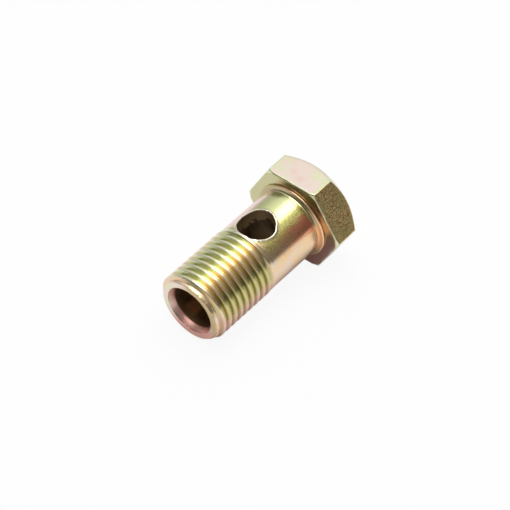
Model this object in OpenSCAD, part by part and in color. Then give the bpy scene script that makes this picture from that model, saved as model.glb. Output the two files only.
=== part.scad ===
// Banjo bolt: a hollow hex-head bolt with a blind axial bore and a cross hole.
// It lies at rest on the plane Z = 0, on one hex flat and one thread crest.
// +X runs from the open end to the head, and the origin is under the middle of its box.

/* [Thread] */
// Major diameter of the thread
thread_d = 14; // [13.8:0.05:15]
// Axial distance from crest to crest, right-hand
pitch = 1.5; // [1:0.25:2]
// Threaded length from the open end, with its run-out
thread_l = 15.8; // [12:0.2:20]
// Length over which the last turns fade into the shank
runout_l = 2.2; // [1:0.1:4]
// Distance from the open end to the first crest along the underside
first_crest = 0.55; // [0:0.05:1.5]

/* [Open end] */
// Outer diameter of the end face
tip_d = 12.3; // [11.5:0.1:13]
// Slope of the end chamfer, in degrees from the axis
tip_slope = 45; // [30:1:60]

/* [Shank] */
// Diameter of the plain shank
shank_d = 13.65; // [12.6:0.05:13.7]
// Length from the open end to the seat under the head
shank_l = 28; // [26:0.5:40]

/* [Collar] */
// Diameter of the low ring around the shank, under the head
collar_d = 15.4; // [14.8:0.1:17]
// Height of that ring over the seat
collar_h = 0.6; // [0.3:0.05:1.2]
// Radius of the fillet from the shank into the ring
collar_fillet = 0.5; // [0.2:0.05:0.55]

/* [Head] */
// Width across the flats
hex_af = 18.5; // [17.5:0.1:22]
// Height of the head over the seat
head_h = 6.4; // [5:0.1:10]
// Diameter of the flat circle on top of the head
top_d = 17.6; // [15:0.1:18.4]
// Slope of the top chamfer, in degrees from the top face
top_slope = 40; // [20:1:45]
// Diameter of the seat circle, where the corners start to be cut back
seat_d = 19.8; // [18.6:0.1:21]
// Slope of the seat chamfer, in degrees from the seat
seat_slope = 20; // [15:1:45]

/* [Bore] */
// Diameter of the axial bore
bore_d = 8.8; // [6:0.1:9.4]
// Depth of the bore to the shoulder of its drill point
bore_l = 21.2; // [20:0.2:25]
// Included angle of the drill point
drill_angle = 140; // [90:1:150]
// Diameter of the countersink at the end face
sink_d = 9.8; // [9.5:0.1:11]
// Depth of the countersink
sink_l = 1.2; // [0.5:0.1:2]

/* [Cross hole] */
// Diameter of the hole drilled across the shank
cross_d = 7; // [4:0.1:8]
// Distance from the seat under the head to the middle of the cross hole
cross_drop = 9.5; // [6:0.1:11]

/* [Hidden] */
$fn = 96;

// Thread form: 60 degree flanks, a narrow crest flat and a deeper, wider root
flank_angle = 60;
crest_flat = pitch / 8;
thread_depth = 0.6134 * pitch;
rows_per_pitch = 8;
columns = 36;

// The faceted thread ends a little inside the round shank
seam_gap = 0.05;
seam_overlap = 0.6;
runout_r = shank_d / 2 - seam_gap;

// Cutters run this far past the faces that they open
cut_past = 1;

// The seam of the shank's and the collar's round surfaces is turned clear of the cross hole
seam_turn = 52.5;

hex_corner_r = hex_af / 2 / cos(30);
head_top = shank_l + head_h;

// The bolt rests on the seat edge of one flat and on the first full crest on that side
chamfer_l = (thread_d - tip_d) / 2 / tan(tip_slope);
crest_turns = ceil((chamfer_l - first_crest) / pitch);
rest_crest = first_crest + crest_turns * pitch - crest_flat / 2;
rest_tilt = atan((hex_af - thread_d) / 2 / (shank_l - rest_crest));
rest_lift = hex_af / 2 * cos(rest_tilt) - shank_l * sin(rest_tilt);

// Reach of the tilted bolt along X
function reach(along, below) = along * cos(rest_tilt) + below * sin(rest_tilt);
flat_top = head_top - (hex_af - top_d) / 2 * tan(top_slope);
box_low_x = reach(0, -tip_d / 2);
box_high_x = max(reach(head_top, top_d / 2), reach(flat_top, hex_af / 2));
box_mid_x = (box_low_x + box_high_x) / 2;

function share(value) = min(1, max(0, value));

// Axial distance from a point to the nearest crest of the helix
function crest_gap(z, turn) =
    let (turns = (z - first_crest) / pitch - turn / 360)
    abs(turns - round(turns)) * pitch;

// Depth of the thread groove at that distance from the crest
function groove(gap) = min(thread_depth, max(0, gap - crest_flat / 2) * tan(flank_angle));

// Radius of the threaded end: full thread, lead-in, run-out and end chamfer
function thread_r(z, turn) =
    let (
        lead = share(z / pitch),
        fade = share((thread_l - z) / runout_l),
        crest_r = runout_r + (thread_d / 2 - runout_r) * fade,
        cut = groove(crest_gap(z, turn)) * min(lead, fade)
    )
    min(tip_d / 2 + z * tan(tip_slope), crest_r - cut);

module threaded_end() {
    row_step = pitch / rows_per_pitch;
    rows = ceil((thread_l + seam_overlap) / row_step);
    turns = [for (j = [0 : columns - 1]) j * 360 / columns];
    points = [
        for (k = [0 : rows], turn = turns)
            let (z = k * row_step, r = thread_r(z, turn))
            [r * cos(turn), r * sin(turn), z]
    ];
    function at(k, j) = k * columns + j % columns;
    walls = [
        for (k = [0 : rows - 1], j = [0 : columns - 1], half = [0, 1])
            half == 0
                ? [at(k, j), at(k + 1, j + 1), at(k, j + 1)]
                : [at(k, j), at(k + 1, j), at(k + 1, j + 1)]
    ];
    end_face = [for (j = [0 : columns - 1]) at(0, j)];
    seam_face = [for (j = [columns - 1 : -1 : 0]) at(rows, j)];
    polyhedron(points, concat(walls, [end_face, seam_face]));
}

module shank() {
    translate([0, 0, thread_l])
        cylinder(d = shank_d, h = head_top - head_h / 2 - thread_l);
}

// Low ring with a concave fillet down to the shank
module collar() {
    ring_z = shank_l - collar_h;
    translate([0, 0, ring_z])
        cylinder(d = collar_d, h = collar_h + head_h / 2);
    translate([0, 0, ring_z])
        rotate_extrude()
            difference() {
                translate([shank_d / 2 - collar_fillet, -collar_fillet])
                    square([2 * collar_fillet, 2 * collar_fillet]);
                translate([shank_d / 2 + collar_fillet, -collar_fillet])
                    circle(r = collar_fillet);
            }
}

// Hexagon with its corners cut back by a cone on the seat side and on top
module hex_head() {
    rim_r = hex_corner_r + cut_past;
    seat_rise = (rim_r - seat_d / 2) * tan(seat_slope);
    top_drop = (rim_r - top_d / 2) * tan(top_slope);
    translate([0, 0, shank_l])
        intersection() {
            rotate([0, 0, 30])
                cylinder(r = hex_corner_r, h = head_h, $fn = 6);
            rotate_extrude()
                polygon([
                    [0, 0],
                    [seat_d / 2, 0],
                    [rim_r, seat_rise],
                    [rim_r, head_h - top_drop],
                    [top_d / 2, head_h],
                    [0, head_h]
                ]);
        }
}

// Blind bore with a countersunk mouth and a drill point
module axial_bore() {
    point_h = bore_d / 2 / tan(drill_angle / 2);
    mouth_flare = (sink_d - bore_d) / sink_l * cut_past;
    rotate_extrude()
        polygon([
            [0, -cut_past],
            [(sink_d + mouth_flare) / 2, -cut_past],
            [bore_d / 2, sink_l],
            [bore_d / 2, bore_l],
            [0, bore_l + point_h]
        ]);
}

module cross_hole() {
    reach_out = thread_d / 2 + cut_past;
    translate([-reach_out, 0, shank_l - cross_drop])
        rotate([0, 90, 0])
            cylinder(d = cross_d, h = 2 * reach_out);
}

module banjo_bolt() {
    color([0.80, 0.74, 0.48])
        translate([-box_mid_x, 0, rest_lift])
            rotate([0, 90 - rest_tilt, 0])
                difference() {
                    union() {
                        threaded_end();
                        rotate([0, 0, seam_turn]) {
                            shank();
                            collar();
                        }
                        hex_head();
                    }
                    axial_bore();
                    cross_hole();
                }
}

banjo_bolt();
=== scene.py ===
import math

import bmesh
import bpy
import numpy as np
from mathutils import Matrix, Vector


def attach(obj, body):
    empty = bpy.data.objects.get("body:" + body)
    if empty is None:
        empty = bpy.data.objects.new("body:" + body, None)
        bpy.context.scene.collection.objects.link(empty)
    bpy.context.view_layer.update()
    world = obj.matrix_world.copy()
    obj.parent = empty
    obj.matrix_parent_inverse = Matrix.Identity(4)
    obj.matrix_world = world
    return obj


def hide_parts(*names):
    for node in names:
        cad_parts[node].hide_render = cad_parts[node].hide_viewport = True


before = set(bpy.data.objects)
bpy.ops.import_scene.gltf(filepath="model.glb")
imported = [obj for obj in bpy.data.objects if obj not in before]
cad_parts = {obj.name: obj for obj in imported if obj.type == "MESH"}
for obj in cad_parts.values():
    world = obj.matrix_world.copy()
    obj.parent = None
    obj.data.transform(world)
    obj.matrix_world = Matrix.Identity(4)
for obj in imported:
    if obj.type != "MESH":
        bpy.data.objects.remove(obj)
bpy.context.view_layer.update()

# Sizes of the bolt, in millimetres
THREAD_R = 7.0
PITCH = 1.5
THREAD_L = 15.8
RUNOUT_L = 2.2
FIRST_CREST = 0.55
CREST_FLAT = PITCH / 8
TIP_R = 6.15
TIP_ROUND = 0.12
LAND_L = 0.6
LAND_TAPER = 0.19
LAND_RISE_L = 0.4
SHANK_R = 6.825
SHANK_L = 28.0
COLLAR_R = 7.65
COLLAR_FILLET = 0.5
COLLAR_RIM = 0.25
FLAT_R = 9.25
HEAD_H = 6.4
HEAD_TOP = SHANK_L + HEAD_H
TOP_R = 8.8
SEAT_R = 9.9
BORE_R = 4.4
BORE_L = 21.2
SINK_R = 4.9
SINK_L = 1.2
HOLE_R = 3.5
HOLE_AT = 18.5

# Slopes of the collar's face and its tuck in degrees, and of the chamfers and the drill point in radians
COLLAR_LEAN = 70.0
COLLAR_TUCK = 60.0
TOP_SLOPE = math.radians(40)
SEAT_SLOPE = math.radians(30)
DRILL_HALF_ANGLE = math.radians(70)
QUARTER = math.pi / 2

# Broken edges of the real bolt
CORNER_ROUND = 0.22
EDGE_ROUND = 0.28
SMALL_ROUND = 0.1

# How the head's edges vary around the bolt: share of the size, waves and seed
CORNER_WEAR = (0.3, 2, 5)
EDGE_WEAR = (0.35, 9, 3)

# How the bolt lies: on the seat edge of one flat and on the first full crest
REST_CREST = FIRST_CREST + PITCH - CREST_FLAT / 2
TILT = math.atan((FLAT_R - THREAD_R) / (SHANK_L - REST_CREST))
LIFT = FLAT_R * math.cos(TILT) - SHANK_L * math.sin(TILT)
LOW_X = -TIP_R * math.sin(TILT)
HIGH_X = HEAD_TOP * math.cos(TILT) + TOP_R * math.sin(TILT)
MID_X = (LOW_X + HIGH_X) / 2
MM = 0.001

# The bolt's own frame: X along its axis from the open end, Y to the side, Z up through the cross hole
BOLT_ORIGIN = Vector((-MID_X, 0, LIFT)) * MM
BOLT_TO_ROW = Matrix.Translation(BOLT_ORIGIN) @ Matrix.Rotation(-TILT, 4, "Y") @ Matrix.Scale(MM, 4)

# Mesh density
COLUMNS = 180
CORNER_COLUMNS = (-0.7, -0.42, -0.2, 0.2, 0.42, 0.7)
RUNOUT_STEP = 0.08
PLAIN_ROWS = 13
SHANK_ROWS = 6
ARC_STEPS = 6
FACE_RINGS = 5
FILLET_STEPS = 8
RIM_STEPS = 10
CRESTS_BEFORE = 3
CRESTS_AFTER = 2
HOLE_PATCH_HALF = math.radians(46)
HOLE_PATCH_FROM = 13.8
HOLE_PATCH_TO = 23.2
BORE_CAP_AT = 10.0
BORE_RINGS_AT = (BORE_CAP_AT, 6.0, 2.5)
WELD = 1e-4
ANGLE_SLACK = 1e-6
SHARP_ANGLE = math.radians(38)

# Dents in the edge of the end face
NICK_DEPTH = 0.11
NICK_L = 0.5
NICK_WAVES = 17
NICK_SEED = 8
NICK_LEVEL = 0.1
NICKS_EVEN = 0.6
NICKS_AT = math.radians(190)

# Thread form: distance from the crest's middle, and depth there; the crest has a shallow rolling seam
CREST_FORM = (
    (0.0, 0.05), (0.04, 0.046), (0.09, 0.026), (0.13, 0.006), (0.165, 0.0), (0.2, 0.008), (0.235, 0.032),
    (0.27, 0.08), (0.37, 0.253), (0.47, 0.427), (0.57, 0.6), (0.6, 0.64), (0.64, 0.662), (0.75, 0.67),
)
CREST_GAPS, CREST_DEPTHS = np.array(CREST_FORM).T

# Waves that add up to an irregular one: height, pace, shift and the power of the seed
WAVES = ((1.0, 1.7, 2.1, 1), (1.0, 3.1, 1.3, 2), (0.7, 7.3, 0.9, 1), (0.4, 13.7, 4.7, 1))


def wobble(x, seed):
    """Smooth irregular wave between about -1 and 1."""
    total = sum(height * np.sin(pace * x + shift * seed ** power) for height, pace, shift, power in WAVES)
    return total / sum(wave[0] for wave in WAVES)


def smooth_share(value):
    """0 up to 0, 1 from 1, smooth in between."""
    value = np.clip(value, 0, 1)
    return value * value * (3 - 2 * value)


def polar(along, radius, turn):
    """Points in the bolt's frame; turn 0 is the underside and grows towards +Y."""
    along, radius, turn = np.broadcast_arrays(along, radius, turn)
    return np.stack([along, radius * np.sin(turn), -radius * np.cos(turn)], axis=-1)


def column_turns():
    """Even columns, with more of them at the six corners of the head."""
    even = np.arange(COLUMNS) * 360 / COLUMNS
    corners = 30 + 60 * np.arange(6)
    near = (corners[:, None] + np.array(CORNER_COLUMNS)[None, :]).ravel()
    return np.radians(np.sort(np.concatenate([even, near])))


TURNS = column_turns()


class Skin:
    """Collects grids of points into one mesh; edges that meet are welded at the end."""

    def __init__(self):
        self.points = []
        self.faces = []
        self.count = 0

    def keep(self, points):
        start = self.count
        self.points.append(points.reshape(-1, 3))
        self.count += len(self.points[-1])
        return start

    def grid(self, points, wrap=True):
        rows, columns = points.shape[:2]
        start = self.keep(points)
        for row in range(rows - 1):
            for column in range(columns if wrap else columns - 1):
                after = (column + 1) % columns
                low = start + row * columns
                high = low + columns
                self.faces.append((low + column, low + after, high + after, high + column))

    def fan(self, ring, middle):
        start = self.keep(np.vstack([ring, [middle]]))
        size = len(ring)
        for column in range(size):
            self.faces.append((start + column, start + (column + 1) % size, start + size))

    def mesh(self, name):
        mesh = bpy.data.meshes.new(name)
        mesh.from_pydata(np.vstack(self.points).tolist(), [], self.faces)
        work = bmesh.new()
        work.from_mesh(mesh)
        bmesh.ops.remove_doubles(work, verts=work.verts, dist=WELD)
        bmesh.ops.dissolve_degenerate(work, edges=work.edges, dist=WELD / 10)
        bmesh.ops.recalc_face_normals(work, faces=work.faces)
        work.to_mesh(mesh)
        work.free()
        return mesh


def rings(profile):
    """Round rings for (along, radius) pairs."""
    along, radius = np.array(profile).T
    return polar(along[:, None], radius[:, None], TURNS[None, :])


def arc(centre, radius, start, end, steps):
    """(along, radius) pairs on an arc; 0 degrees points outwards, 90 degrees to the head."""
    angles = np.radians(np.linspace(start, end, steps))
    return [(centre[0] + radius * math.sin(a), centre[1] + radius * math.cos(a)) for a in angles]


def nick_depth(along, turn):
    """Small dents in the edge of the end face, which fade out along the land."""
    around = np.mod(turn, 2 * math.pi)
    dents = np.clip(wobble(NICK_WAVES * around, NICK_SEED) - NICK_LEVEL, 0, 1)
    dents = dents * (NICKS_EVEN + (1 - NICKS_EVEN) * np.cos(turn - NICKS_AT))
    return NICK_DEPTH * dents * (1 - smooth_share(along / NICK_L))


def thread_radius(along, turn):
    """Radius of the threaded end: land at the open end, thread and run-out."""
    turns = (along - FIRST_CREST) / PITCH - turn / (2 * math.pi)
    gap = np.abs(turns - np.round(turns)) * PITCH
    fade = smooth_share((THREAD_L - along) / RUNOUT_L)
    crest = SHANK_R + (THREAD_R - SHANK_R) * fade
    depth = np.interp(gap, CREST_GAPS, CREST_DEPTHS) * fade
    rise = (THREAD_R - TIP_R) * smooth_share((along - LAND_L) / LAND_RISE_L)
    land = TIP_R + LAND_TAPER * along + rise
    return np.minimum(land, crest - depth) - nick_depth(along, turn)


# Countersink: half length of its softened inner edge, and where its middle ring lies
SINK_EDGE = 0.06
SINK_MIDDLE = 0.4


def add_open_end(skin):
    """Bore wall near the mouth, countersink, rounded rim and end face; returns where the land starts."""
    sink_slope = math.degrees(math.atan((SINK_R - BORE_R) / SINK_L))
    rim_centre = (SMALL_ROUND, SINK_R + SMALL_ROUND * math.tan(math.radians((90 + sink_slope) / 2)))
    profile = [(along, BORE_R) for along in BORE_RINGS_AT]
    profile += [(SINK_L + SINK_EDGE, BORE_R), (SINK_L - SINK_EDGE, BORE_R + SINK_EDGE / 2)]
    profile += [(SINK_L * (1 - SINK_MIDDLE), BORE_R + (SINK_R - BORE_R) * SINK_MIDDLE)]
    profile += arc(rim_centre, SMALL_ROUND, -180 - sink_slope, -90, ARC_STEPS)
    slope = math.atan(LAND_TAPER)
    tip_centre = (TIP_ROUND, TIP_R + TIP_ROUND * (LAND_TAPER - 1 / math.cos(slope)))
    face = np.linspace(rim_centre[1], tip_centre[1], FACE_RINGS)[1:-1]
    profile += [(0.0, radius) for radius in face]
    edge = arc(tip_centre, TIP_ROUND, -90, -math.degrees(slope), ARC_STEPS)
    profile += edge
    ring_grid = rings(profile)
    for row, (along, radius) in zip(range(len(profile) - len(edge), len(profile)), edge):
        share = (radius - edge[0][1]) / (edge[-1][1] - edge[0][1])
        ring_grid[row] = polar(along, radius - share * nick_depth(edge[-1][0], TURNS), TURNS)
    skin.grid(ring_grid)
    skin.fan(ring_grid[0], (BORE_CAP_AT, 0, 0))
    return edge[-1][0]


def add_thread(skin, start):
    """Rows follow the helix, so that each crest and root has its own row of points."""
    offsets = np.concatenate([-CREST_GAPS[-2:0:-1], CREST_GAPS])
    crests = np.arange(-CRESTS_BEFORE, math.ceil(HOLE_PATCH_FROM / PITCH) + CRESTS_AFTER)
    rows = (crests[:, None] * PITCH + offsets[None, :]).ravel() + FIRST_CREST
    turns = np.append(TURNS, TURNS[0] + 2 * math.pi)
    along = rows[:, None] + PITCH * turns[None, :] / (2 * math.pi)
    along = np.clip(along, start, HOLE_PATCH_FROM)
    skin.grid(polar(along, thread_radius(along, turns[None, :]), turns[None, :]), wrap=False)


def patch_rows():
    """Rows along the axis that the cross hole's patches and the strips beside them share."""
    runout = np.arange(HOLE_PATCH_FROM, THREAD_L, RUNOUT_STEP)
    plain = np.linspace(THREAD_L, HOLE_PATCH_TO, PLAIN_ROWS)
    return np.concatenate([runout, plain])


def collar_profile():
    """(along, radius) pairs: concave fillet, leaning face, rounded rim and the tuck down to the seat."""
    lean = math.radians(COLLAR_LEAN)
    rim_at = SHANK_L - COLLAR_RIM * math.sin(math.radians(COLLAR_TUCK))
    rim_r = COLLAR_R - COLLAR_RIM
    face_rise = rim_r + COLLAR_RIM * math.cos(lean) - SHANK_R - COLLAR_FILLET * (1 - math.cos(lean))
    face_run = face_rise / math.tan(lean)
    fillet_at = rim_at - (COLLAR_RIM + COLLAR_FILLET) * math.sin(lean) - face_run
    fillet_centre = (fillet_at, SHANK_R + COLLAR_FILLET)
    profile = arc(fillet_centre, COLLAR_FILLET, 180, 180 - COLLAR_LEAN, FILLET_STEPS)
    profile += arc((rim_at, rim_r), COLLAR_RIM, -COLLAR_LEAN, COLLAR_TUCK, RIM_STEPS)
    return profile


def add_shank(skin):
    """Plain shank: two strips beside the cross hole's patches, then full rings up to the collar."""
    along = patch_rows()
    for middle in (math.pi / 2, 3 * math.pi / 2):
        beside = TURNS[np.abs(TURNS - middle) < math.pi / 2 - HOLE_PATCH_HALF + ANGLE_SLACK]
        radius = thread_radius(along[:, None], beside[None, :])
        skin.grid(polar(along[:, None], radius, beside[None, :]), wrap=False)
    fillet_at = collar_profile()[0][0]
    skin.grid(rings([(a, SHANK_R) for a in np.linspace(HOLE_PATCH_TO, fillet_at, SHANK_ROWS)]))


# Cross hole: the lip that the drill raised, as distance from the wall and share of the lip's height
LIP = (
    (0.75, 0.0), (0.55, 0.06), (0.42, 0.2), (0.3, 0.55),
    (0.2, 0.9), (0.12, 1.0), (0.05, 0.8), (0.0, 0.35),
)
LIP_HEIGHT = 0.085
LIP_VARIES = 0.05
LIP_WAVES = 4

# Cross hole: its uneven rim, which is torn on one side
RIM_VARIES = 0.07
RIM_WAVES = 3
TORN_DEPTH = 0.13
TORN_WAVES = 9
TORN_AT = math.radians(-120)

# Cross hole: layers of its patch, and levels of its wall, which is round below the first sixth
PATCH_LAYERS = 28
PATCH_CROWDING = 1.2
WALL_SHARES = (0.04, 0.1, 0.2, 0.35, 0.55, 0.78, 1.0)
ROUND_BELOW = 1 / 6


def patch_border(middle):
    """(along, turn) pairs around the patch that holds one mouth of the cross hole."""
    turns = (TURNS - middle + math.pi) % (2 * math.pi) - math.pi
    turns = np.sort(turns[np.abs(turns) < HOLE_PATCH_HALF + ANGLE_SLACK]) + middle
    along = patch_rows()
    low, high = along[0], along[-1]
    first, last = turns[0], turns[-1]
    border = [(low, t) for t in turns[:-1]] + [(a, last) for a in along[:-1]]
    border += [(high, t) for t in turns[:0:-1]] + [(a, first) for a in along[:0:-1]]
    return np.array(border).T


def hole_rim(around, seed):
    """Radius of the cross hole at its mouth, uneven all round and torn on one side."""
    torn = (1 + np.cos(around - TORN_AT)) / 2
    uneven = RIM_VARIES * wobble(RIM_WAVES * around, seed)
    return HOLE_R + uneven + TORN_DEPTH * torn * wobble(TORN_WAVES * around, seed + 2)


def add_hole_mouth(skin, middle, seed):
    """Skin around one mouth of the cross hole, its raised lip, and the wall down to the bolt's axis."""
    side_of = 1 if middle == 0 else -1
    border_along, border_turn = patch_border(middle)
    around = np.arctan2(side_of * SHANK_R * np.sin(border_turn - middle), border_along - HOLE_AT)
    rim = hole_rim(around, seed)
    lip = LIP_HEIGHT + LIP_VARIES * wobble(LIP_WAVES * around, seed + 1)

    def at(distance):
        along = HOLE_AT + (rim + distance) * np.cos(around)
        turn = middle + side_of * np.arcsin((rim + distance) * np.sin(around) / SHANK_R)
        return along, turn

    layers = []
    near_along, near_turn = at(LIP[0][0])
    for share in np.linspace(1, 0, PATCH_LAYERS + 1)[:-1] ** PATCH_CROWDING:
        along = near_along + (border_along - near_along) * share
        turn = near_turn + (border_turn - near_turn) * share
        layers.append(polar(along, thread_radius(along, turn), turn))
    for distance, height in LIP:
        along, turn = at(distance)
        layers.append(polar(along, thread_radius(along, turn) + lip * height, turn))
    top = layers[-1]
    foot = np.stack([HOLE_AT + HOLE_R * np.cos(around), HOLE_R * np.sin(around), 0 * around], axis=-1)
    for share in WALL_SHARES:
        level = top + (foot - top) * share
        settle = smooth_share(share / ROUND_BELOW)
        level[:, :2] = top[:, :2] + (foot[:, :2] - top[:, :2]) * settle
        layers.append(level)
    skin.grid(np.array(layers))


def worn_size(size, wear):
    """A size that varies around the bolt."""
    share, waves, seed = wear
    return size * (1 + share * wobble(waves * TURNS, seed))


def hex_radius(turn, rounding):
    """Radius of the hexagon at this turn, with rounded corners; a flat faces down."""
    sixth = math.pi / 3
    from_flat = (turn + sixth / 2) % sixth - sixth / 2
    from_corner = sixth / 2 - np.abs(from_flat)
    centre = (FLAT_R - rounding) / math.cos(sixth / 2)
    reach = np.sqrt(np.maximum(rounding ** 2 - (centre * np.sin(from_corner)) ** 2, 0))
    arc_ends = np.arctan2(rounding * math.sin(sixth / 2), centre + rounding * math.cos(sixth / 2))
    in_corner = from_corner < arc_ends
    return np.where(in_corner, centre * np.cos(from_corner) + reach, FLAT_R / np.cos(from_flat))


def meet(first, second):
    """Point where two lines meet, each given as (angle of its normal, distance along the normal)."""
    (a, p), (b, q) = first, second
    span = math.sin(b - a)
    return (p * math.sin(b) - q * math.sin(a)) / span, (q * math.cos(a) - p * math.cos(b)) / span


def head_edges(flat, edge):
    """The head's rounded edges from the seat up: the middle as (radius, along), and two angles."""
    seat_cut = SEAT_SLOPE - QUARTER
    top_cut = QUARTER - TOP_SLOPE
    seat_line = (-QUARTER, -SHANK_L - edge)
    seat_cut_line = (seat_cut, SEAT_R * math.cos(seat_cut) + SHANK_L * math.sin(seat_cut) - edge)
    flat_line = (0.0, flat - edge)
    top_cut_line = (top_cut, TOP_R * math.cos(top_cut) + HEAD_TOP * math.sin(top_cut) - edge)
    top_line = (QUARTER, HEAD_TOP - edge)
    square = meet(seat_line, flat_line)
    is_cut = square[0] * math.cos(seat_cut) + square[1] * math.sin(seat_cut) > seat_cut_line[1]

    def where_cut(cut):
        return [np.where(is_cut, on_cut, on_square) for on_cut, on_square in zip(cut, square)]

    return (
        (where_cut(meet(seat_line, seat_cut_line)), -QUARTER, seat_cut),
        (where_cut(meet(seat_cut_line, flat_line)), seat_cut, 0.0),
        (meet(flat_line, top_cut_line), 0.0, top_cut),
        (meet(top_cut_line, top_line), top_cut, QUARTER),
    )


# Rings of the head: on each rounded edge, on the face before it, and from the last edge to the hub of the top
HEAD_EDGE_STEPS = (4, 6, 5, 4)
HEAD_FACE_STEPS = (6, 1, 9, 2)
HUB_STEPS = 8
HUB_R = 0.5


def add_head(skin):
    """Seat, flats and top of the head, with every edge broken by a small radius."""
    flat = hex_radius(TURNS, worn_size(CORNER_ROUND, CORNER_WEAR))
    edge = worn_size(EDGE_ROUND, EDGE_WEAR)

    def run(start, end, steps):
        shares = np.linspace(0, 1, steps + 2)[1:-1, None]
        return start[0] + (end[0] - start[0]) * shares, start[1] + (end[1] - start[1]) * shares

    last = (np.full_like(flat, collar_profile()[-1][1]), np.full_like(flat, SHANK_L))
    hub = (np.full_like(flat, HUB_R), np.full_like(flat, HEAD_TOP))
    pieces = [(last[0][None], last[1][None])]
    for (middle, start, end), steps, before in zip(head_edges(flat, edge), HEAD_EDGE_STEPS, HEAD_FACE_STEPS):
        angles = np.linspace(start, end, steps)[:, None]
        bend = (middle[0] + edge * np.cos(angles), middle[1] + edge * np.sin(angles))
        pieces.append(run(last, (bend[0][0], bend[1][0]), before))
        pieces.append(bend)
        last = (bend[0][-1], bend[1][-1])
    pieces.append(run(last, hub, HUB_STEPS))
    pieces.append((hub[0][None], hub[1][None]))
    radius = np.vstack([piece[0] for piece in pieces])
    along = np.vstack([piece[1] for piece in pieces])
    grid = polar(along, radius, TURNS[None, :])
    skin.grid(grid)
    skin.fan(grid[-1], (HEAD_TOP, 0, 0))


# Bore cutter: it starts inside the open mouth, a little slimmer, and its drill point is cut off near the tip
CUTTER_LEAD = 0.5
CUTTER_INSET = 0.02
CUTTER_BLEND = 0.3
POINT_SHARE = 0.95


def bore_cutter():
    """Deep part of the bore with its drill point, from inside the open mouth."""
    start = BORE_CAP_AT - CUTTER_LEAD
    point_l = BORE_R / math.tan(DRILL_HALF_ANGLE)
    profile = [(start, BORE_R - CUTTER_INSET), (BORE_CAP_AT + CUTTER_BLEND, BORE_R), (BORE_L, BORE_R)]
    profile += [(BORE_L + POINT_SHARE * point_l, (1 - POINT_SHARE) * BORE_R)]
    skin = Skin()
    grid = rings(profile)
    skin.grid(grid)
    skin.fan(grid[0], (start, 0, 0))
    skin.fan(grid[-1], (BORE_L + point_l, 0, 0))
    return skin.mesh("bore_cutter")


def make_bolt():
    """The whole bolt as one closed mesh: its skin with a short bore, then the rest of the bore cut out."""
    skin = Skin()
    land_start = add_open_end(skin)
    add_thread(skin, land_start)
    add_shank(skin)
    add_hole_mouth(skin, math.pi, 1)
    add_hole_mouth(skin, 0, 2)
    skin.grid(rings(collar_profile()))
    add_head(skin)
    blank = bpy.data.objects.new("banjo_bolt_blank", skin.mesh("banjo_bolt_blank"))
    cutter = bpy.data.objects.new("bore_cutter", bore_cutter())
    for obj in (blank, cutter):
        bpy.context.scene.collection.objects.link(obj)
    cut = blank.modifiers.new("bore", "BOOLEAN")
    cut.operation = "DIFFERENCE"
    cut.solver = "EXACT"
    cut.object = cutter
    shaped = blank.evaluated_get(bpy.context.evaluated_depsgraph_get())
    mesh = bpy.data.meshes.new_from_object(shaped)
    mesh.name = "banjo_bolt_finished"
    for obj in (blank, cutter):
        bpy.data.objects.remove(obj)
    mesh.transform(BOLT_TO_ROW)
    mesh.shade_smooth()
    mesh.set_sharp_from_angle(angle=SHARP_ANGLE)
    bolt = bpy.data.objects.new("banjo_bolt_finished", mesh)
    bpy.context.scene.collection.objects.link(bolt)
    return bolt


class Nodes:
    """Short calls for building a node tree, which starts empty."""

    def __init__(self, owner):
        owner.use_nodes = True
        self.tree = owner.node_tree
        self.tree.nodes.clear()

    def fill(self, socket, value):
        if isinstance(value, bpy.types.NodeSocket):
            self.tree.links.new(value, socket)
        else:
            socket.default_value = value

    def add(self, kind, sockets=None, **settings):
        node = self.tree.nodes.new(kind)
        for name, value in settings.items():
            setattr(node, name, value)
        for name, value in (sockets or {}).items():
            self.fill(node.inputs[name], value)
        return node

    def math(self, operation, first, second=0.0, third=0.0):
        sockets = {0: first, 1: second, 2: third}
        return self.add("ShaderNodeMath", sockets, operation=operation).outputs[0]

    def times(self, *factors):
        """Product of all factors."""
        product = factors[0]
        for factor in factors[1:]:
            product = self.math("MULTIPLY", product, factor)
        return product

    def rest(self, share):
        """What a share leaves of 1."""
        return self.math("SUBTRACT", 1.0, share)

    def length(self, first, second):
        return self.math("SQRT", self.math("ADD", self.times(first, first), self.times(second, second)))

    def vector(self, operation, first, second=(0, 0, 0)):
        return self.add("ShaderNodeVectorMath", {0: first, 1: second}, operation=operation).outputs[0]

    def dot(self, first, second):
        node = self.add("ShaderNodeVectorMath", {0: first, 1: second}, operation="DOT_PRODUCT")
        return node.outputs["Value"]

    def share(self, value, start, full):
        """0 up to the start, 1 from full on, smooth in between; either may be the larger."""
        sockets = {"Value": value, "From Min": start, "From Max": full}
        return self.add("ShaderNodeMapRange", sockets, interpolation_type="SMOOTHSTEP").outputs[0]

    def mix(self, factor, first, second, blend="MIX"):
        node = self.add("ShaderNodeMix", data_type="RGBA", blend_type=blend)
        for index, value in ((0, factor), (6, first), (7, second)):
            self.fill(node.inputs[index], value)
        return node.outputs[2]

    def noise(self, vector, scale, detail, roughness):
        sockets = {"Vector": vector, "Scale": scale, "Detail": detail, "Roughness": roughness}
        return self.add("ShaderNodeTexNoise", sockets).outputs["Fac"]

    def ramp(self, value, stops):
        node = self.add("ShaderNodeValToRGB", {"Fac": value})
        elements = node.color_ramp.elements
        while len(elements) < len(stops):
            elements.new(0.5)
        for element, (place, colour) in zip(elements, stops):
            element.position = place
            element.color = (*colour, 1)
        return node.outputs["Color"]


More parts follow.
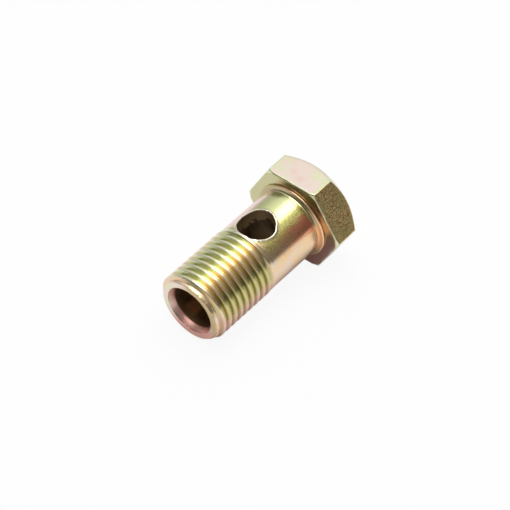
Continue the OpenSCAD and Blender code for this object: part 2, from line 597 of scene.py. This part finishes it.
# Tints of the passivation film, and of the dull steel inside, with painted shade, highlights and light among
# them
GOLD = (0.84, 0.74, 0.46, 1)
GREEN = (0.79, 0.82, 0.42, 1)
PALE_GREEN = (0.80, 0.82, 0.54, 1)
PALE_ROSE = (0.90, 0.75, 0.66, 1)
ROSE = (0.90, 0.50, 0.42, 1)
LIMB_ROSE = (0.94, 0.72, 0.63, 1)
PEACH = (0.97, 0.69, 0.43, 1)
COPPER = (0.97, 0.34, 0.19, 1)
BRONZE = (0.90, 0.66, 0.42, 1)
OLIVE = (0.80, 0.72, 0.30, 1)
DEEP_OLIVE = (0.82, 0.75, 0.23, 1)
DULL_GOLD = (0.66, 0.50, 0.27, 1)
# Seat colours, darkened as painted shade
SEAT_SHADE_OLIVE = (0.60, 0.58, 0.33, 1)
SEAT_SHADE_BROWN = (0.40, 0.29, 0.16, 1)
SEAT_SHADE_RED = (0.62, 0.36, 0.18, 1)
SEAT_SHADE_MAROON = (0.46, 0.27, 0.24, 1)
FILLET_RUST = (0.88, 0.44, 0.20, 1)
SIDE_OLIVE = (0.65, 0.60, 0.29, 1)
CREST_ROSE = (0.86, 0.57, 0.48, 1)
# Painted highlight for the thread's crests, on one side
CREST_HIGHLIGHT = (0.95, 0.89, 0.64, 1)
DARK_GRAIN = (0.55, 0.45, 0.34, 1)
# Painted shade for the collar's fillet
COLLAR_SHADE_BROWN = (0.52, 0.43, 0.25, 1)
# Brown of one flat, darkened partly as painted shade
FLAT_SHADED_BROWN = (0.46, 0.24, 0.10, 1)
FLAT_GREEN = (0.55, 0.50, 0.20, 1)
FLAT_GOLD = (0.84, 0.66, 0.30, 1)
# Painted shade for the thread's grooves
GROOVE_SHADE = (0.74, 0.73, 0.57, 1)
# Painted shade for the shank's underside
UNDERSIDE_SHADE = (0.74, 0.48, 0.38, 1)
HOLE_BROWN = (0.60, 0.46, 0.27, 1)
# Painted highlight for the cross hole's lip
LIP_HIGHLIGHT = (0.96, 0.86, 0.72, 1)
# Painted pool of light in the bore
BORE_PAINTED_LIGHT = (0.95, 0.55, 0.24, 1)
BORE_BROWN = (0.36, 0.23, 0.12, 1)
# Painted shade deeper in the bore
BORE_SHADE = (0.22, 0.16, 0.09, 1)
WHITE = (1, 1, 1, 1)

# Noises that break up the tints: scale per millimetre, detail and roughness
DRIFT_NOISE = (0.22, 2.0, 0.5)
PATCH_NOISE = (0.42, 1.0, 0.5)
STREAK_NOISE = (1.0, 3.0, 0.5)
SPECKLE_NOISE = (4.2, 3.0, 0.6)
LATHE_NOISE = (6.0, 2.0, 0.5)
PALE_NOISE = (0.5, 3.0, 0.5)
CLOUD_NOISE = (0.26, 2.0, 0.5)
ROSY_NOISE = (0.24, 2.0, 0.5)
TORN_NOISE = (0.9, 3.0, 0.5)
NOISE_MIDDLE = 0.5
STREAK_STRETCH = (0.3, 2.0, 2.0)

# A pair below is where a tint starts and where it is full: in millimetres, or as a level of a noise
# A zone is a direction around the axis, in degrees from +Y over the top, and two cosines of angles from it

# Open end: its land, and its face with the countersink
LAND_TO = (1.05, 0.75)
LAND_R = (TIP_R - 0.2, TIP_R)
FACE_TO = (0.3, 0.12)
FACE_R = (SINK_R + 0.1, SINK_R)
END_TO = (SINK_L + 0.2, SINK_L)
SINK_WALL = (SINK_R + 0.05, SINK_R - 0.02)
SINK_TO = (SINK_L + 0.1, SINK_L)

# Head, from the seat up, and the plane of its brown flat
HEAD_FROM = (SHANK_L - 0.08, SHANK_L - 0.02)
PAST_COLLAR_R = (7.5, 7.56)
PAST_COLLAR_FROM = (SHANK_L + 0.5, SHANK_L + 1.0)
BROWN_FLAT_AT = 150
BROWN_FLAT_PLANE = (FLAT_R - 0.13, FLAT_R - 0.04)

# Walls of the cross hole and the bore, with the torn edge where they meet
HOLE_WALL = (HOLE_R + 0.01, HOLE_R + 0.06)
BORE_WALL = (BORE_R + 0.02, BORE_R + 0.06)
BORE_FROM = (SINK_L - 0.1, SINK_L)
BORE_TO = (HEAD_TOP - 3, HEAD_TOP - 2)
TORN_EDGE = (0.48, 0.6)
TORN_EDGE_DEPTH = 0.6


class Film:
    """Where a point lies on the bolt, and the noises there, for the tints of the passivation film."""

    def __init__(self, n):
        self.n = n
        place = n.add("ShaderNodeTexCoord").outputs["Object"]
        to_bolt = {"Vector": place, "Location": BOLT_ORIGIN, "Rotation": (0, -TILT, 0), "Scale": (MM, MM, MM)}
        self.spot = n.add("ShaderNodeMapping", to_bolt, vector_type="TEXTURE").outputs["Vector"]
        self.along, self.side, up = n.add("ShaderNodeSeparateXYZ", {0: self.spot}).outputs
        self.radius = n.length(self.side, up)
        self.outward = n.vector("NORMALIZE", n.vector("MULTIPLY", self.spot, (0, 1, 1)))
        self.add_noises()
        self.add_regions()

    def add_noises(self):
        n = self.n
        self.drift = n.math("SUBTRACT", n.noise(self.spot, *DRIFT_NOISE), NOISE_MIDDLE)
        self.patches = n.noise(self.spot, *PATCH_NOISE)
        stretched = n.vector("MULTIPLY", self.spot, STREAK_STRETCH)
        self.streaks = n.math("SUBTRACT", n.noise(stretched, *STREAK_NOISE), NOISE_MIDDLE)
        self.speckle = n.noise(self.spot, *SPECKLE_NOISE)
        turned = n.add("ShaderNodeCombineXYZ", {0: self.along, 1: self.radius}).outputs[0]
        self.lathe = n.noise(turned, *LATHE_NOISE)

    def add_regions(self):
        n = self.n
        self.land = n.times(n.share(self.along, *LAND_TO), n.share(self.radius, *LAND_R))
        near_face = n.math("MAXIMUM", n.share(self.along, *FACE_TO), n.share(self.radius, *FACE_R))
        self.on_end = n.times(near_face, n.share(self.along, *END_TO))
        self.in_sink = n.times(n.share(self.radius, *SINK_WALL), n.share(self.along, *SINK_TO))
        past_collar = n.share(self.radius, *PAST_COLLAR_R)
        past_collar = n.math("MAXIMUM", past_collar, n.share(self.along, *PAST_COLLAR_FROM))
        self.on_head = n.times(n.share(self.along, *HEAD_FROM), past_collar)
        brown_way = n.times(self.facing(BROWN_FLAT_AT), self.radius)
        self.brown_flat = n.share(brown_way, *BROWN_FLAT_PLANE)
        self.from_hole = n.length(n.math("SUBTRACT", self.along, HOLE_AT), self.side)
        self.in_hole = n.rest(n.share(self.from_hole, *HOLE_WALL))
        torn = n.share(n.noise(self.spot, *TORN_NOISE), *TORN_EDGE)
        torn_radius = n.math("MULTIPLY_ADD", torn, -TORN_EDGE_DEPTH, self.radius)
        in_bore = n.times(n.rest(n.share(torn_radius, *BORE_WALL)), n.share(self.along, *BORE_FROM))
        self.in_bore = n.times(in_bore, n.rest(n.share(self.along, *BORE_TO)))

    def facing(self, degrees):
        """Cosine of the angle from a direction around the axis, counted from +Y over the top."""
        turn = math.radians(degrees)
        return self.n.dot(self.outward, (0, math.cos(turn), math.sin(turn)))

    def zone(self, zone, *shifts):
        """Share of a zone around the axis; each shift, an amount and a pattern, breaks up its edge."""
        degrees, start, full = zone
        value = self.facing(degrees)
        for amount, pattern in shifts:
            value = self.n.math("MULTIPLY_ADD", pattern, amount, value)
        return self.n.share(value, start, full)


# Shank and thread, broad tints: rose and peach with gold and pale patches, under a green top
ON_THREAD = (THREAD_L + 0.6, THREAD_L - 1.2)
LIMB_SIDES = (-4.0, 4.0)
GOLD_PATCH = (0.44, 0.66)
GOLD_SHARE = 0.3
PALE_PATCH = (0.4, 0.7)
PALE_SIDE = (-3.0, -5.0)
PALE_TO = (25.0, 19.0)
TOP_ZONE = (97, 0.8, 0.9)
TOP_DRIFT = 0.2
TOP_ON_THREAD = 0.2

# Shank and thread, bands along the bolt: olive, copper, painted shade on the underside, and bronze
OLIVE_ZONE = (126, 0.96, 0.99)
OLIVE_STREAKS = 0.03
OLIVE_SHARE = 0.8
COPPER_ZONE = (143, 0.945, 0.988)
COPPER_DRIFT = 0.05
COPPER_STREAKS = 0.1
COPPER_FROM = (14.0, 26.0)
COPPER_TO = (26.9, 26.3)
# Painted shade on the shank's underside
UNDER_SHADE_ZONE = (235, 0.68, 0.9)
UNDER_SHADE_FROM = (15.0, 18.0)
BRONZE_ZONE = (128, 0.88, 0.98)
BRONZE_TO = (17.0, 15.0)

# Shank and thread, grain and pits
GRAIN_SPECKLE = (0.47, 0.56)
GRAIN_TO = (27.0, 20.0)
GRAIN_ZONE = (122, 0.6, 0.85)
GRAIN_SHARE = 0.45
PIT_SPECKLE = (0.49, 0.55)
PIT_ZONE = (132, 0.92, 0.975)
PIT_FROM = (THREAD_L - 1.0, THREAD_L)
PIT_SHARE = 0.6


def broad_tint(film):
    """Rose on the far limb and peach on the near one, with gold and pale patches, and green over the top."""
    n = film.n
    colour = n.mix(n.share(film.side, *LIMB_SIDES), PEACH, LIMB_ROSE)
    gold = n.times(n.share(film.patches, *GOLD_PATCH), GOLD_SHARE)
    colour = n.mix(gold, colour, GOLD)
    pale = n.share(n.noise(film.spot, *PALE_NOISE), *PALE_PATCH)
    pale = n.times(pale, n.share(film.side, *PALE_SIDE), n.share(film.along, *PALE_TO))
    colour = n.mix(pale, colour, PALE_ROSE)
    on_thread = n.share(film.along, *ON_THREAD)
    top = film.zone(TOP_ZONE, (TOP_DRIFT, film.drift), (TOP_ON_THREAD, on_thread))
    return n.mix(top, colour, n.mix(on_thread, GREEN, PALE_GREEN))


def band_tint(film, colour):
    """Olive and copper along one shoulder, painted shade darkening the underside, and bronze on the thread's
    shoulder.
    """
    n = film.n
    olive = n.times(film.zone(OLIVE_ZONE, (OLIVE_STREAKS, film.streaks)), OLIVE_SHARE)
    colour = n.mix(olive, colour, DEEP_OLIVE)
    copper = film.zone(COPPER_ZONE, (COPPER_DRIFT, film.drift), (COPPER_STREAKS, film.streaks))
    copper = n.times(copper, n.share(film.along, *COPPER_FROM), n.share(film.along, *COPPER_TO))
    colour = n.mix(copper, colour, COPPER)
    # Painted shade darkens the shank's underside
    below = n.times(film.zone(UNDER_SHADE_ZONE), n.share(film.along, *UNDER_SHADE_FROM))
    colour = n.mix(below, colour, UNDERSIDE_SHADE, blend="MULTIPLY")
    bronze = n.times(film.zone(BRONZE_ZONE), n.share(film.along, *BRONZE_TO))
    return n.mix(bronze, colour, BRONZE)


def grain_tint(film, colour):
    """Fine olive grain over the shoulder, and dark pits on the shank's part of it."""
    n = film.n
    grain = n.times(n.share(film.speckle, *GRAIN_SPECKLE), n.share(film.along, *GRAIN_TO))
    grain = n.times(grain, film.zone(GRAIN_ZONE), GRAIN_SHARE)
    colour = n.mix(grain, colour, OLIVE)
    pits = n.times(n.share(film.speckle, *PIT_SPECKLE), film.zone(PIT_ZONE))
    pits = n.times(pits, n.share(film.along, *PIT_FROM), PIT_SHARE)
    return n.mix(pits, colour, DARK_GRAIN, blend="MULTIPLY")


# Collar: its fillet, darkened as painted shade, and its rim, with painted shade on its far side
COLLAR_FROM = (SHANK_L - 1.0, SHANK_L - 0.8)
FILLET_SIDES = (-6.9, -5.9)
RIM_SIDES = (0.0, 3.5)
RIM_FROM_R = (7.4, 7.5)


def collar_tint(film, colour):
    """Fillet darkened brown as painted shade, turning rust red on the near side, and a rim between peach and
    dull gold, whose dull gold far side is painted shade.
    """
    n = film.n
    # Painted shade darkens the fillet
    fillet = n.mix(n.share(film.side, *FILLET_SIDES), FILLET_RUST, COLLAR_SHADE_BROWN)
    # The rim's dull gold far side is painted shade
    rim = n.mix(n.share(film.side, *RIM_SIDES), PEACH, DULL_GOLD)
    collar = n.mix(n.share(film.radius, *RIM_FROM_R), fillet, rim)
    return n.mix(n.share(film.along, *COLLAR_FROM), colour, collar)


# Thread: its start and end, its grooves with their painted shade, its olive side, its first turn, its low
# side and the painted highlights on its crests
THREADED_FROM = (0.75, 1.05)
THREADED_TO = (THREAD_L - 0.6, THREAD_L - 1.8)
GROOVE_R = (6.93, 6.75)
SIDE_ZONE = (162, 0.9, 0.97)
SIDE_R = (7.06, 6.94)
SIDE_FROM = (1.8, 2.6)
FIRST_TURN_TO = (2.6, 1.8)
FIRST_TURN_ZONE = (192, 0.85, 0.95)
LOW_ZONE = (212, 0.81, 0.94)
LOW_SHARE = 0.85
CREST_R = (THREAD_R - 0.06, THREAD_R - 0.02)
# Painted highlight on the crests, on one side of the bolt
CREST_HIGHLIGHT_ZONE = (70, 0.5, 0.8)
CREST_HIGHLIGHT_SHARE = 0.7


def thread_tint(film, colour):
    """Olive past the shoulder, rose below it and on the first turn, painted shade in the grooves and painted
    highlights on the crests.
    """
    n = film.n
    threaded = n.times(n.share(film.along, *THREADED_TO), n.share(film.along, *THREADED_FROM))
    olive = n.times(film.zone(SIDE_ZONE), n.share(film.radius, *SIDE_R))
    olive = n.times(olive, n.share(film.along, *SIDE_FROM), threaded)
    colour = n.mix(olive, colour, SIDE_OLIVE)
    first_turn = n.times(n.share(film.along, *FIRST_TURN_TO), film.zone(FIRST_TURN_ZONE))
    rose = n.times(n.math("MAXIMUM", film.zone(LOW_ZONE), first_turn), threaded, LOW_SHARE)
    colour = n.mix(rose, colour, CREST_ROSE)
    # Painted shade darkens the grooves
    shaded_groove = n.times(n.share(film.radius, *GROOVE_R), threaded)
    colour = n.mix(shaded_groove, colour, GROOVE_SHADE, blend="MULTIPLY")
    # Painted highlight on the crests, on one side of the bolt
    wear_and_painted_highlight = n.times(n.share(film.radius, *CREST_R), threaded, film.zone(CREST_HIGHLIGHT_ZONE), CREST_HIGHLIGHT_SHARE)
    return n.mix(wear_and_painted_highlight, colour, CREST_HIGHLIGHT)


# Open end: bronze patches and lathe lines on the land, patches and two zones on the face
LAND_PATCH = (0.62, 0.42)
LATHE_LINES = (0.48, 0.58)
LATHE_ZONE = (128, 0.75, 0.95)
END_PATCH = (0.42, 0.58)
END_GREEN_SHARE = 0.6
END_GOLD_ZONE = (145, 0.1, 0.7)
END_ROSE_ZONE = (265, 0.25, 0.85)
END_BROKEN = 0.8


def end_tint(film, colour):
    """Bronze land with lathe lines; a face of pale rose and green, dull gold on one side, rose below."""
    n = film.n
    bronze = n.times(film.land, n.share(film.patches, *LAND_PATCH))
    colour = n.mix(bronze, colour, BRONZE)
    lines = n.times(n.share(film.lathe, *LATHE_LINES), film.zone(LATHE_ZONE), film.land)
    colour = n.mix(lines, colour, DARK_GRAIN, blend="MULTIPLY")
    green = n.times(n.share(film.patches, *END_PATCH), END_GREEN_SHARE)
    face = n.mix(green, PALE_ROSE, PALE_GREEN)
    broken = (END_BROKEN, n.math("SUBTRACT", film.patches, NOISE_MIDDLE))
    face = n.mix(film.zone(END_GOLD_ZONE, broken), face, DULL_GOLD)
    face = n.mix(film.zone(END_ROSE_ZONE, broken), face, ROSE)
    return n.mix(film.on_end, colour, face)


# Head: clouds on the flats, mottle on the brown one, darkened partly as painted shade, and worn corners and
# lower edges
CLOUD = (0.43, 0.6)
CLOUD_SHARE = 0.75
ROSY = (0.5, 0.68)
ROSY_SHARE = 0.3
MOTTLE_SPECKLE = (0.46, 0.55)
MOTTLE_PATCH = (0.45, 0.6)
MOTTLE_GREEN_SHARE = 0.45
CORNER_R = (10.3, 10.45)
WORN_EDGE_TO = (SHANK_L + 0.38, SHANK_L + 0.24)
WORN_EDGE_R = (9.0, 9.15)

# Head: its seat, darkened as painted shade in film hues
SEAT_TO = (SHANK_L + 0.1, SHANK_L + 0.04)
SEAT_SHARE = 0.95
SEAT_SHADE_BROWN_ZONE = (140, 0.2, 0.8)
SEAT_SHADE_RED_ZONE = (160, 0.98, 0.998)
SEAT_SHADE_MAROON_ZONE = (222, 0.70, 0.82)


def flat_tint(film):
    """Pale rose flats with soft green and rosy clouds, one mottled brown flat darkened partly as painted
    shade, and pale green edges from wear.
    """
    n = film.n
    cloud = n.times(n.share(n.noise(film.spot, *CLOUD_NOISE), *CLOUD), CLOUD_SHARE)
    flats = n.mix(cloud, PALE_ROSE, PALE_GREEN)
    rosy = n.times(n.share(n.noise(film.spot, *ROSY_NOISE), *ROSY), ROSY_SHARE)
    flats = n.mix(rosy, flats, ROSE)
    # The brown flat is darkened partly as painted shade
    mottle = n.mix(n.share(film.speckle, *MOTTLE_SPECKLE), FLAT_SHADED_BROWN, FLAT_GOLD)
    green = n.times(n.share(film.patches, *MOTTLE_PATCH), MOTTLE_GREEN_SHARE)
    mottle = n.mix(green, mottle, FLAT_GREEN)
    flats = n.mix(film.brown_flat, flats, mottle)
    corner = n.times(n.share(film.radius, *CORNER_R), n.rest(film.brown_flat))
    wear_and_painted_highlight = n.math("MAXIMUM", n.share(film.along, *WORN_EDGE_TO), corner)
    return n.mix(n.times(wear_and_painted_highlight, n.share(film.radius, *WORN_EDGE_R)), flats, PALE_GREEN)


def head_tint(film, colour):
    """The flats and the top, and a seat darkened as painted shade, dull olive turning brown, red and maroon
    around the bolt.
    """
    n = film.n
    # The seat's dark colours are painted shade
    seat = n.mix(film.zone(SEAT_SHADE_BROWN_ZONE), SEAT_SHADE_OLIVE, SEAT_SHADE_BROWN)
    seat = n.mix(film.zone(SEAT_SHADE_RED_ZONE), seat, SEAT_SHADE_RED)
    seat = n.mix(film.zone(SEAT_SHADE_MAROON_ZONE), seat, SEAT_SHADE_MAROON)
    on_seat = n.times(n.share(film.along, *SEAT_TO), SEAT_SHARE)
    return n.mix(film.on_head, colour, n.mix(on_seat, flat_tint(film), seat))


# Inside: the cross hole's lip with its painted highlight, the bore with its painted shade and its painted
# pool of light, and the countersink
# Painted highlight on the lip
LIP_TO = (HOLE_R + 0.4, HOLE_R + 0.25)
LIP_R = (5.8, 6.0)
LIP_SHARE = 0.85
# Painted shade deeper in the bore
BORE_SHADE_DEEPENS = (8.0, 15.0)
# Painted pool of light in the bore
LIT_PATCH_FROM = (1.8, 3.0)
LIT_PATCH_TO = (6.0, 4.0)
LIT_PATCH_ZONE = (302, 0.93, 0.995)
SINK_SHARE = 0.6


def inside_tint(film, colour):
    """Lip paled to cream as a painted highlight, brown cross hole, dark bore with painted shade deeper in and
    a painted pool of light, and a rosy countersink.
    """
    n = film.n
    # Painted highlight paling the lip
    highlit_lip = n.times(n.share(film.from_hole, *LIP_TO), n.share(film.radius, *LIP_R), LIP_SHARE)
    colour = n.mix(highlit_lip, colour, LIP_HIGHLIGHT)
    colour = n.mix(film.in_hole, colour, HOLE_BROWN)
    # Painted shade darkens the bore deeper in
    bore = n.mix(n.share(film.along, *BORE_SHADE_DEEPENS), BORE_BROWN, BORE_SHADE)
    # Painted pool of light in the bore
    painted_light = n.times(n.share(film.along, *LIT_PATCH_FROM), n.share(film.along, *LIT_PATCH_TO), film.zone(LIT_PATCH_ZONE))
    bore = n.mix(painted_light, bore, BORE_PAINTED_LIGHT)
    colour = n.mix(film.in_bore, colour, bore)
    return n.mix(n.times(film.in_sink, SINK_SHARE), colour, ROSE)


# Surface of the film: roughness, and bump in metres
ROUGHNESS = 0.22
STREAK_ROUGHNESS = 0.14
LAND_ROUGHNESS = 0.05
INSIDE_ROUGHNESS = 0.28
GRIT = 0.4
BROWN_FLAT_GRIT = 0.6
BUMP_STRENGTH = 0.3
BUMP_DEPTH = 0.0001


def film_roughness(film):
    """Satin with streaks, duller on the land and inside."""
    n = film.n
    rough = n.math("MULTIPLY_ADD", film.streaks, STREAK_ROUGHNESS, ROUGHNESS)
    rough = n.math("MULTIPLY_ADD", film.land, LAND_ROUGHNESS, rough)
    inside = n.math("MAXIMUM", film.in_bore, film.in_hole)
    inside = n.math("MAXIMUM", inside, n.times(film.in_sink, SINK_SHARE))
    return n.math("MULTIPLY_ADD", inside, INSIDE_ROUGHNESS, rough)


def film_bump(film):
    """Fine grit, coarser on the brown flat, and lathe rings at the open end."""
    n = film.n
    grit = n.math("MULTIPLY_ADD", n.times(film.on_head, film.brown_flat), BROWN_FLAT_GRIT, GRIT)
    height = n.times(film.speckle, grit)
    height = n.math("MULTIPLY_ADD", film.lathe, n.math("MAXIMUM", film.land, film.on_end), height)
    sockets = {"Height": height, "Strength": BUMP_STRENGTH, "Distance": BUMP_DEPTH}
    return n.add("ShaderNodeBump", sockets).outputs["Normal"]


def yellow_zinc():
    """Satin zinc plate under a yellow passivation film, whose tints drift between gold, green and rose, with
    painted shade, highlights and light laid into them.
    """
    material = bpy.data.materials.new("yellow_zinc_finish")
    film = Film(Nodes(material))
    colour = broad_tint(film)
    for add_tint in (band_tint, grain_tint, collar_tint, thread_tint, end_tint, head_tint, inside_tint):
        colour = add_tint(film, colour)
    shader = film.n.add("ShaderNodeBsdfPrincipled", {
        "Base Color": colour,
        "Metallic": 1.0,
        "Roughness": film_roughness(film),
        "Normal": film_bump(film),
    })
    film.n.add("ShaderNodeOutputMaterial", {"Surface": shader.outputs["BSDF"]})
    return material


# How much of the floor and the surround shows as plain white to each kind of ray
FLOOR_TO_CAMERA = 0.92
SURROUND_TO_CAMERA = 1.0
WHITE_IN_GLOSS = 0.1


def white_share(n, to_camera):
    """Share of plain white, by the kind of ray."""
    path = n.add("ShaderNodeLightPath").outputs
    in_gloss = n.math("MAXIMUM", path["Is Glossy Ray"], path["Is Transmission Ray"])
    return n.math("MAXIMUM", n.times(path["Is Camera Ray"], to_camera), n.times(in_gloss, WHITE_IN_GLOSS))


# Floor: half its width in metres, its corners, and its colour
FLOOR_HALF = 30.0
FLOOR_CORNERS = ((-1, -1), (1, -1), (1, 1), (-1, 1))
FLOOR_PALE = (0.95, 0.95, 0.95, 1)


def make_floor():
    """Pale floor: white to the camera, a little of that white in reflections, and the bolt's shadow."""
    mesh = bpy.data.meshes.new("floor")
    corners = [(x * FLOOR_HALF, y * FLOOR_HALF, 0) for x, y in FLOOR_CORNERS]
    mesh.from_pydata(corners, [], [(0, 1, 2, 3)])
    floor = bpy.data.objects.new("floor", mesh)
    bpy.context.scene.collection.objects.link(floor)
    material = bpy.data.materials.new("pale_floor")
    n = Nodes(material)
    pale = n.add("ShaderNodeBsdfDiffuse", {"Color": FLOOR_PALE}).outputs[0]
    white = n.add("ShaderNodeEmission", {"Color": WHITE, "Strength": 1.0}).outputs[0]
    both = n.add("ShaderNodeMixShader", {0: white_share(n, FLOOR_TO_CAMERA), 1: pale, 2: white})
    n.add("ShaderNodeOutputMaterial", {"Surface": both.outputs[0]})
    mesh.materials.append(material)


# Studio surround: grey levels by the sine of the elevation, behind the bolt, to its right and in front
BACK_LEVELS = ((0.0, 0.40), (0.4, 0.46), (0.8, 0.95), (1.0, 1.11))
RIGHT_LEVELS = ((0.0, 0.01), (0.35, 0.13), (0.6, 0.21), (0.85, 0.78), (1.0, 1.11))
FRONT_LEVELS = ((0.0, 0.06), (0.75, 0.04), (0.92, 0.57), (1.0, 1.11))

# Where the back and the right lie: azimuth from +X, and the cosines where their levels start and are full
BACK_SPREAD = (math.radians(45), 0.1, 0.65)
RIGHT_SPREAD = (math.radians(-60), 0.35, 0.75)


def make_world():
    """Soft studio surround: bright overhead and behind, dark right and in front, white to the camera."""
    world = bpy.data.worlds.new("studio")
    bpy.context.scene.world = world
    n = Nodes(world)
    direction = n.add("ShaderNodeTexCoord").outputs["Generated"]
    height = n.add("ShaderNodeSeparateXYZ", {0: direction}).outputs["Z"]
    level = n.vector("NORMALIZE", n.vector("MULTIPLY", direction, (1, 1, 0)))

    def toward(spread):
        azimuth, start, full = spread
        return n.share(n.dot(level, (math.cos(azimuth), math.sin(azimuth), 0)), start, full)

    def greys(table):
        return n.ramp(height, [(place, (grey, grey, grey)) for place, grey in table])

    glow = n.mix(toward(BACK_SPREAD), greys(FRONT_LEVELS), greys(BACK_LEVELS))
    glow = n.mix(toward(RIGHT_SPREAD), glow, greys(RIGHT_LEVELS))
    glow = n.mix(white_share(n, SURROUND_TO_CAMERA), glow, WHITE)
    around = n.add("ShaderNodeBackground", {"Color": glow, "Strength": 1.0})
    n.add("ShaderNodeOutputWorld", {"Surface": around.outputs[0]})


# Softboxes: name, azimuth and elevation in degrees, distance and size in metres, power in watts
LAMPS = (
    ("key_softbox", 4, 66, 0.6, 0.3, 0.36),
    ("top_softbox", 180, 86, 0.7, 0.52, 1.9),
)


def make_lamp(name, azimuth, elevation, distance, size, power):
    """Square softbox that faces the bolt; azimuth runs from +X towards +Y."""
    lamp = bpy.data.lights.new(name, "AREA")
    lamp.shape = "SQUARE"
    lamp.size = size
    lamp.energy = power
    turn = math.radians(azimuth)
    rise = math.radians(elevation)
    toward = Vector((math.cos(turn) * math.cos(rise), math.sin(turn) * math.cos(rise), math.sin(rise)))
    obj = bpy.data.objects.new(name, lamp)
    obj.location = toward * distance
    obj.rotation_euler = toward.to_track_quat("Z", "Y").to_euler()
    bpy.context.scene.collection.objects.link(obj)


# Camera of the photograph: places in metres, angles in degrees, lens and sensor in millimetres
CAMERA_TARGET = Vector((-0.000244, -0.000529, 0.008447))
CAMERA_DISTANCE = 0.5
CAMERA_AZIMUTH = 49.617
CAMERA_ELEVATION = 43.717
CAMERA_ROLL = -0.561
CAMERA_LENS = 198.51
CAMERA_SENSOR = 36.0
CAMERA_CLIP = 0.01


def make_camera():
    """Camera fitted to the photograph; azimuth 0 looks along +Y."""
    azimuth = math.radians(CAMERA_AZIMUTH)
    elevation = math.radians(CAMERA_ELEVATION)
    roll = math.radians(CAMERA_ROLL)
    level = math.cos(elevation)
    forward = Vector((math.sin(azimuth) * level, math.cos(azimuth) * level, -math.sin(elevation)))
    right = Vector((math.cos(azimuth), -math.sin(azimuth), 0))
    down = forward.cross(right)
    across = math.cos(roll) * right + math.sin(roll) * down
    below = math.cos(roll) * down - math.sin(roll) * right
    data = bpy.data.cameras.new("camera")
    data.lens = CAMERA_LENS
    data.sensor_width = CAMERA_SENSOR
    data.clip_start = CAMERA_CLIP
    camera = bpy.data.objects.new("camera", data)
    axes = Matrix((across, -below, -forward)).transposed().to_4x4()
    camera.matrix_world = Matrix.Translation(CAMERA_TARGET - CAMERA_DISTANCE * forward) @ axes
    bpy.context.scene.collection.objects.link(camera)
    bpy.context.scene.camera = camera


bpy.context.scene.view_settings.view_transform = "Standard"
make_camera()
make_world()
make_floor()
for lamp_values in LAMPS:
    make_lamp(*lamp_values)

bolt = make_bolt()
bolt.data.materials.append(yellow_zinc())
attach(bolt, "root")
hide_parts("banjo_bolt")
